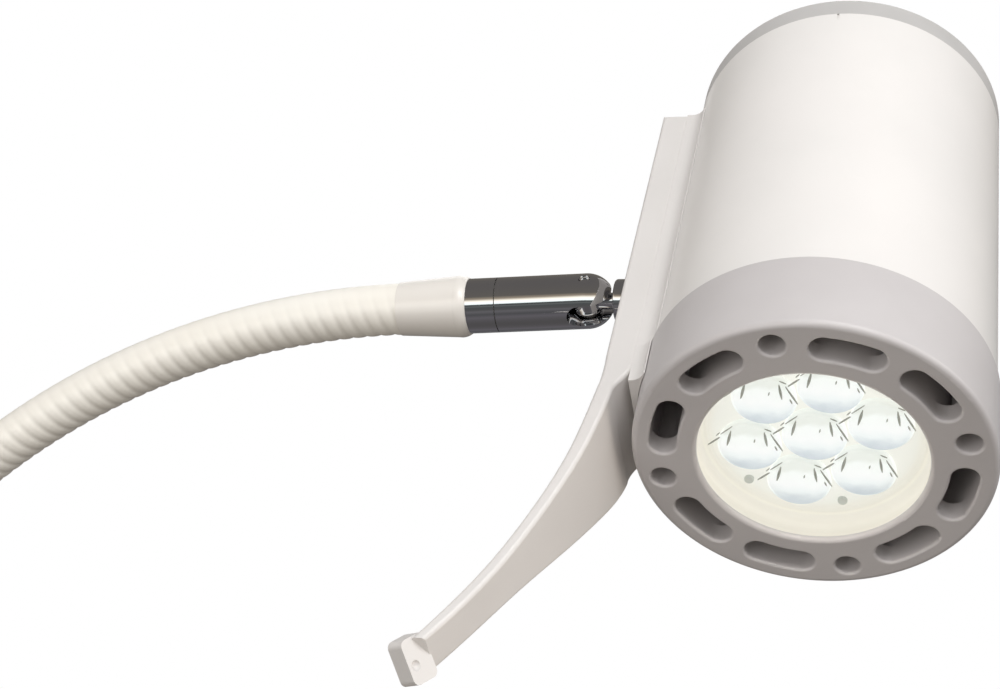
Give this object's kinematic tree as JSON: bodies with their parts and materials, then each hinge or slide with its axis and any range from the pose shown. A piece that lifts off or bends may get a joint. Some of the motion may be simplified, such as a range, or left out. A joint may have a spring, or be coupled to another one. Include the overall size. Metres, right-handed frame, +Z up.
{
  "type": "surgical light",
  "caption": "Round surgical lamp head with a lens cluster, a side handle and a chrome knuckle on a corrugated gooseneck that stands on a spigot.",
  "frame": {"origin": "centre of the base ferrule's lower shoulder, where the spigot starts", "axes": "+Z up along the base of the neck; the neck bends towards +X, turned 13.0 degrees to -Y, and the lamp's beam leaves towards -Y and down"},
  "size_m": [0.5014, 0.2034, 0.4552],
  "materials": {
    "bezel_grey": "satin",
    "cap_grey": "satin",
    "housing_white": "satin",
    "bracket_white": "satin",
    "chrome": "polished",
    "screw_steel": "satin",
    "clear_window": "polished",
    "clear_lens": "polished",
    "holder_white": "satin",
    "seal_black": "matte",
    "sink_aluminium": "satin",
    "led_board_white": "satin",
    "driver_board_green": "satin",
    "component_dark": "satin",
    "washer_nylon": "satin",
    "lead_jacket": "matte",
    "sheath_ivory": "satin",
    "core_steel": "satin",
    "ferrule_white": "satin",
    "spigot_steel": "satin",
    "socket_black": "satin",
    "led_glow": "satin"
  },
  "bodies": {
    "base": {"base_spigot": "spigot_steel", "supply_socket": "socket_black", "base_ferrule": "ferrule_white", "sheath_1": "sheath_ivory", "core_1": "core_steel", "lead_1": "lead_jacket"},
    "neck_2": {"sheath_2": "sheath_ivory", "core_2": "core_steel", "lead_2": "lead_jacket"},
    "neck_3": {"sheath_3": "sheath_ivory", "core_3": "core_steel", "lead_3": "lead_jacket"},
    "neck_4": {"sheath_4": "sheath_ivory", "core_4": "core_steel", "lead_4": "lead_jacket"},
    "neck_5": {"sheath_5": "sheath_ivory", "core_5": "core_steel", "lead_5": "lead_jacket"},
    "neck_6": {"sheath_6": "sheath_ivory", "core_6": "core_steel", "lead_6": "lead_jacket"},
    "neck_end": {"sheath_7": "sheath_ivory", "core_7": "core_steel", "lead_7": "lead_jacket", "head_ferrule": "ferrule_white", "swivel_collar": "chrome", "swivel_washer": "washer_nylon"},
    "knuckle": {"clevis_barrel": "chrome", "pivot_pin": "chrome", "friction_washers": "washer_nylon", "swivel_set_screw": "screw_steel", "knuckle_lead": "lead_jacket"},
    "lamp_head": {"bezel_screws": "screw_steel", "board_screws": "screw_steel", "body_tube": "housing_white", "bracket_screws": "screw_steel", "driver_board": "driver_board_green", "driver_components": "component_dark", "driver_tray": "sink_aluminium", "front_bezel": "bezel_grey", "head_lead": "lead_jacket", "heat_sink": "sink_aluminium", "knuckle_stud": "chrome", "led_board": "led_board_white", "led_chips": "led_glow", "lens_1": "clear_lens", "lens_2": "clear_lens", "lens_3": "clear_lens", "lens_4": "clear_lens", "lens_5": "clear_lens", "lens_6": "clear_lens", "lens_7": "clear_lens", "lens_holder": "holder_white", "rear_cap": "cap_grey", "rear_cap_screws": "screw_steel", "side_bracket": "bracket_white", "tie_rods": "sink_aluminium", "window_plate": "clear_window", "window_seal": "seal_black"}
  },
  "joints": [
    {"name": "neck_bend_1", "type": "hinge", "parent": "base", "child": "neck_2", "pos_m": [0.00232, -0.00054, 0.06217], "axis": [0.2251, 0.9743, 0], "range_deg": [-20, 20]},
    {"name": "neck_side_2", "type": "hinge", "parent": "neck_2", "child": "neck_3", "pos_m": [0.02063, -0.00477, 0.13408], "axis": [0.9035, -0.2088, -0.3742], "range_deg": [-20, 20]},
    {"name": "neck_bend_3", "type": "hinge", "parent": "neck_3", "child": "neck_4", "pos_m": [0.05608, -0.01296, 0.1989], "axis": [0.2251, 0.9743, 0], "range_deg": [-20, 20]},
    {"name": "neck_side_4", "type": "hinge", "parent": "neck_4", "child": "neck_5", "pos_m": [0.10634, -0.02457, 0.25242], "axis": [0.6095, -0.1408, -0.7802], "range_deg": [-20, 20]},
    {"name": "neck_bend_5", "type": "hinge", "parent": "neck_5", "child": "neck_6", "pos_m": [0.16816, -0.03885, 0.29114], "axis": [0.2251, 0.9743, 0], "range_deg": [-20, 20]},
    {"name": "neck_side_6", "type": "hinge", "parent": "neck_6", "child": "neck_end", "pos_m": [0.23751, -0.05488, 0.31256], "axis": [0.1596, -0.0369, -0.9865], "range_deg": [-20, 20]},
    {"name": "knuckle_swivel", "type": "hinge", "parent": "neck_end", "child": "knuckle", "pos_m": [0.31889, -0.07368, 0.31801], "axis": [-0.9737, 0.225, -0.0366], "range_deg": [-150, 150]},
    {"name": "knuckle_hinge", "type": "hinge", "parent": "knuckle", "child": "lamp_head", "pos_m": [0.33836, -0.07818, 0.31874], "axis": [-0.1666, -0.5927, 0.788], "range_deg": [-70, 70]}
  ]
}
